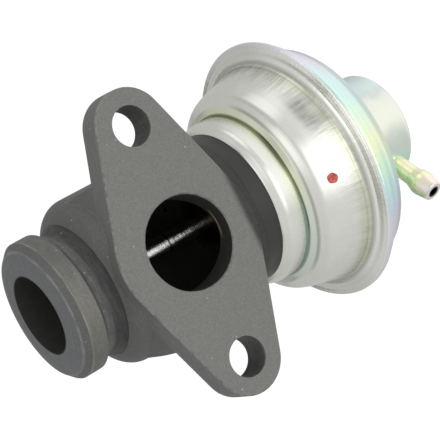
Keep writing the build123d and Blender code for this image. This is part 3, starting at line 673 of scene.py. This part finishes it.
# its section as (x, radius): each point of the vacuum side has a partner on the air side
vacuum_side = [(43.2, 1.56), (43.2, 20.1), (43.28, 20.5), (43.6, 20.7), (46.9, 20.7), (48.2, 21.2),
               (49.05, 22.4), (49.3, 24.1), (49.05, 25.8), (48.2, 27.0), (46.9, 27.55), (45.55, 27.55),
               (45.2, 27.7), (45.1, 28.1), (45.1, 30.3)]
air_side = [(42.4, 1.56), (42.4, 20.6), (42.55, 21.05), (43.0, 21.4), (46.6, 21.5), (47.6, 21.85),
            (48.25, 22.8), (48.5, 24.1), (48.25, 25.35), (47.6, 26.35), (46.6, 26.75), (45.2, 26.8),
            (44.65, 27.05), (44.35, 27.6), (44.3, 30.3)]
section = vacuum_side + air_side[::-1]
diaphragm_rubber, shader = moulded_black("diaphragm_rubber", (0.045, 0.043, 0.040), (0.022, 0.021, 0.020),
                                         0.62, speck_fineness=2.2, speck_depth=0.00003)
tree = diaphragm_rubber.node_tree
threads = {"Vector": in_mm(tree), "Scale": 0.55, "Distortion": 0.4}
weave = plus(add(tree, "ShaderNodeTexWave", threads, bands_direction="Y").outputs[1],
             add(tree, "ShaderNodeTexWave", threads, bands_direction="Z").outputs[1])
connect(shader, {"Normal": raised(weave, 0.00004, 0.5)})
for number in range(sectors):
    middle_angle = 2 * math.pi * number / sectors
    name = f"diaphragm_{number + 1}"
    mesh = bpy.data.meshes.new(name)
    form = bmesh.new()
    stations = []
    for step in range(steps_each + 1):
        angle = middle_angle + math.pi / sectors * (2 * step / steps_each - 1)
        stations.append([form.verts.new((a / 1000, (stem_height + b * math.cos(angle)) / 1000,
                                         b * math.sin(angle) / 1000)) for a, b in section])
    for here, there in zip(stations, stations[1:]):
        for k in range(len(section)):
            after = (k + 1) % len(section)
            form.faces.new((here[k], there[k], there[after], here[after]))
    last = len(section) - 1
    for k in range(len(vacuum_side) - 1):
        for end in (stations[0], stations[-1]):
            form.faces.new((end[k], end[k + 1], end[last - k - 1], end[last - k]))
    bmesh.ops.recalc_face_normals(form, faces=form.faces)
    form.to_mesh(mesh)
    form.free()
    for face in mesh.polygons:
        face.use_smooth = True
    mesh.set_sharp_from_angle(angle=math.radians(40))
    mesh.materials.append(diaphragm_rubber)
    sector = piece_of(name, mesh)
    toward = Vector((0, math.cos(middle_angle), math.sin(middle_angle)))
    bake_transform(sector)
    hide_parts("diaphragm")


# ---------------------------------------------------------------- return spring and its seat
# Round-wire coil of oil-tempered spring steel with a closed turn at each end, standing in the upper dish and
# pushing against a moulded seat in the cap. In use it shortens by the valve's lift under vacuum; here the
# coil is built at one length.
spring_wire, spring_mean, spring_turns, closed_turns = 1.7, 21.0, 6.0, 0.9
spring_foot, spring_head = 44.4, 69.0
path_steps = 336
spring_steel, tree, shader = new_finish("oil_tempered_steel")
point = in_mm(tree)
cloud = grain(point, 0.6, 3.0)
speck = grain(point, 4.0, 2.0)
colour = mixed(cloud, (0.11, 0.105, 0.10), (0.20, 0.19, 0.175))
colour = mixed(between(speck, 0.6, 0.75), colour, (0.34, 0.32, 0.30))
connect(shader, {"Base Color": colour, "Metallic": 0.9, "Roughness": between(cloud, 0.3, 0.7, 0.30, 0.44),
                 "Normal": raised(speck, 0.00002, 0.5)})

coil = bpy.data.node_groups.new("coil_spring", "GeometryNodeTree")
coil.interface.new_socket("Geometry", in_out="OUTPUT", socket_type="NodeSocketGeometry")
coil_sizes = {"Wire diameter": spring_wire, "Mean diameter": spring_mean, "Turns": spring_turns,
              "Closed turns": closed_turns, "Foot": spring_foot, "Head": spring_head,
              "Axis height": stem_height}
identifiers = {}
for label in coil_sizes:
    socket = coil.interface.new_socket(label, in_out="INPUT", socket_type="NodeSocketFloat")
    identifiers[label] = socket.identifier
given = coil.nodes.new("NodeGroupInput").outputs
wire_d, turns, closed = given["Wire diameter"], given["Turns"], given["Closed turns"]

# the turns made so far at each point of the wire, the closed ones among them at its foot and at its head,
# and the share of the open ones, which starts and ends gently
turned_by = times(maths("DIVIDE", add(coil, "GeometryNodeInputIndex").outputs[0], path_steps), turns)
first = maths("MINIMUM", turned_by, closed)
last = maths("MAXIMUM", minus(turned_by, minus(turns, closed)), 0.0)
opened = maths("DIVIDE", minus(minus(turned_by, first), last), minus(turns, times(closed, 2.0)))
eased = times(opened, opened, minus(3.0, times(opened, 2.0)))
opened = plus(times(opened, 0.75), times(eased, 0.25))

# closed turns climb by one wire each, and the open ones share the rest of the height
span = minus(minus(given["Head"], given["Foot"]), wire_d)
free = minus(span, times(closed, 2.0, wire_d))
climb = plus(times(plus(first, last), wire_d), times(opened, free))
height = plus(given["Foot"], times(wire_d, 0.5), climb)
turn = times(turned_by, 2 * math.pi)
radius = times(given["Mean diameter"], 0.5)
place = vector_of(times(height, 0.001),
                  times(plus(given["Axis height"], times(radius, maths("COSINE", turn))), 0.001),
                  times(radius, maths("SINE", turn), 0.001))

line = add(coil, "GeometryNodeMeshLine", {"Count": path_steps + 1})
placed = add(coil, "GeometryNodeSetPosition", {"Geometry": line.outputs[0], "Position": place})
path = add(coil, "GeometryNodeMeshToCurve", {0: placed.outputs[0]})
wire_r = times(wire_d, 0.0005)
circle = add(coil, "GeometryNodeCurvePrimitiveCircle", {"Resolution": 14, "Radius": wire_r})
swept = {"Curve": path.outputs[0], "Profile Curve": circle.outputs[0], "Fill Caps": True}
wire = add(coil, "GeometryNodeCurveToMesh", swept)
smooth = add(coil, "GeometryNodeSetShadeSmooth", {0: wire.outputs[0]})
real = add(coil, "GeometryNodeRealizeInstances", {0: smooth.outputs[0]})
painted = add(coil, "GeometryNodeSetMaterial", {"Geometry": real.outputs[0], "Material": spring_steel})
coil.links.new(painted.outputs[0], coil.nodes.new("NodeGroupOutput").inputs[0])

carrier = piece_of("coil_carrier", bpy.data.meshes.new("coil_carrier"))
modifier = carrier.modifiers.new("coil_spring", "NODES")
modifier.node_group = coil
for label, value in coil_sizes.items():
    modifier[identifiers[label]] = value
made = carrier.evaluated_get(bpy.context.evaluated_depsgraph_get())
spring = piece_of("return_spring_coil", bpy.data.meshes.new_from_object(made))
bpy.data.objects.remove(carrier)
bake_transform(spring)
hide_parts("return_spring")
seat_black, _ = moulded_black("moulded_seat_black", (0.055, 0.054, 0.050), (0.030, 0.030, 0.028), 0.50)
dress("spring_seat", seat_black)


# ---------------------------------------------------------------- floor, light and camera
# A white table and tent: even light from all round, with soft brighter patches in front, at the left, above
# and behind the cap, and a weak soft box in front. The camera stands close, tipped so that the stem runs
# uphill.
view = bpy.context.scene.view_settings
view.view_transform = "Standard"
view.look = "None"

white_level = 1.05
floor_z, floor_reach = cad_box[0][2] - 0.0002, 4
mesh = bpy.data.meshes.new("floor")
corners = [(-1, -1), (1, -1), (1, 1), (-1, 1)]
mesh.from_pydata([(a * floor_reach, b * floor_reach, floor_z) for a, b in corners], [], [(0, 1, 2, 3)])
floor = piece_of("floor", mesh)
floor.visible_diffuse = floor.visible_glossy = floor.visible_shadow = False
white_table, tree, shader = new_finish("white_table")
surface = shader.outputs["BSDF"].links[0].to_socket
glow = add(tree, "ShaderNodeEmission", {"Color": (1, 1, 1, 1), "Strength": white_level})
tree.links.new(glow.outputs[0], surface)
mesh.materials.append(white_table)

tent = bpy.data.worlds.new("light_tent")
bpy.context.scene.world = tent
tent.use_nodes = True
tree = tent.node_tree
tree.nodes.clear()
toward = add(tree, "ShaderNodeTexCoord").outputs["Generated"]


def lit_from(direction, full_within, none_beyond, strength):
    """A soft patch of light in the tent; the angles are in degrees from its middle."""
    ways = {0: toward, 1: tuple(Vector(direction).normalized())}
    near = add(tree, "ShaderNodeVectorMath", ways, operation="DOT_PRODUCT").outputs["Value"]
    outer, inner = math.cos(math.radians(none_beyond)), math.cos(math.radians(full_within))
    return between(near, outer, inner, 0.0, strength)


tent_level = 0.56
level = lit_from((0.10, -0.97, -0.06), 30, 150, 0.20)
for direction, full_within, none_beyond, strength in (
        ((0.06, -1.00, -0.04), 8, 30, 0.80),
        ((0.92, -0.22, 0.30), 24, 62, 0.38),
        ((-0.91, -0.30, 0.29), 12, 28, 0.50),
        ((-0.97, 0.15, 0.10), 10, 26, 0.40),
        ((-0.09, -0.18, 0.98), 10, 26, 0.45)):
    level = plus(level, lit_from(direction, full_within, none_beyond, strength))
level = plus(level, tent_level)
seen = add(tree, "ShaderNodeLightPath").outputs["Is Camera Ray"]
strength = plus(times(seen, white_level), times(minus(1.0, seen), level))
back = add(tree, "ShaderNodeBackground", {"Color": (1, 1, 1, 1), "Strength": strength})
tree.links.new(back.outputs[0], add(tree, "ShaderNodeOutputWorld").inputs["Surface"])

box_side = Vector((0.06, -0.997, -0.04)).normalized()
box_aim, box_distance = Vector((0.040, 0.014, 0.0)), 0.75
box_light = bpy.data.lights.new("soft_box", "AREA")
box_light.shape = "SQUARE"
box_light.size = 0.90
box_light.energy = 0.45
box = piece_of("soft_box", box_light)
box.location = box_aim + box_side * box_distance
box.rotation_euler = box_side.to_track_quat("Z", "Y").to_euler()

optics = bpy.data.cameras.new("camera")
optics.sensor_fit = "HORIZONTAL"
optics.sensor_width = 36.0
optics.lens = 120.67
optics.clip_start, optics.clip_end = 0.01, 20.0
camera = piece_of("camera", optics)
right, up, behind = (0.7554, -0.4808, -0.4451), (0.4345, -0.1410, 0.8896), (-0.4905, -0.8654, 0.1024)
stand = Matrix((right, up, behind)).transposed().to_4x4()
stand.translation = Vector((-0.146402, -0.274009, 0.033381))
camera.matrix_world = stand
bpy.context.scene.camera = camera
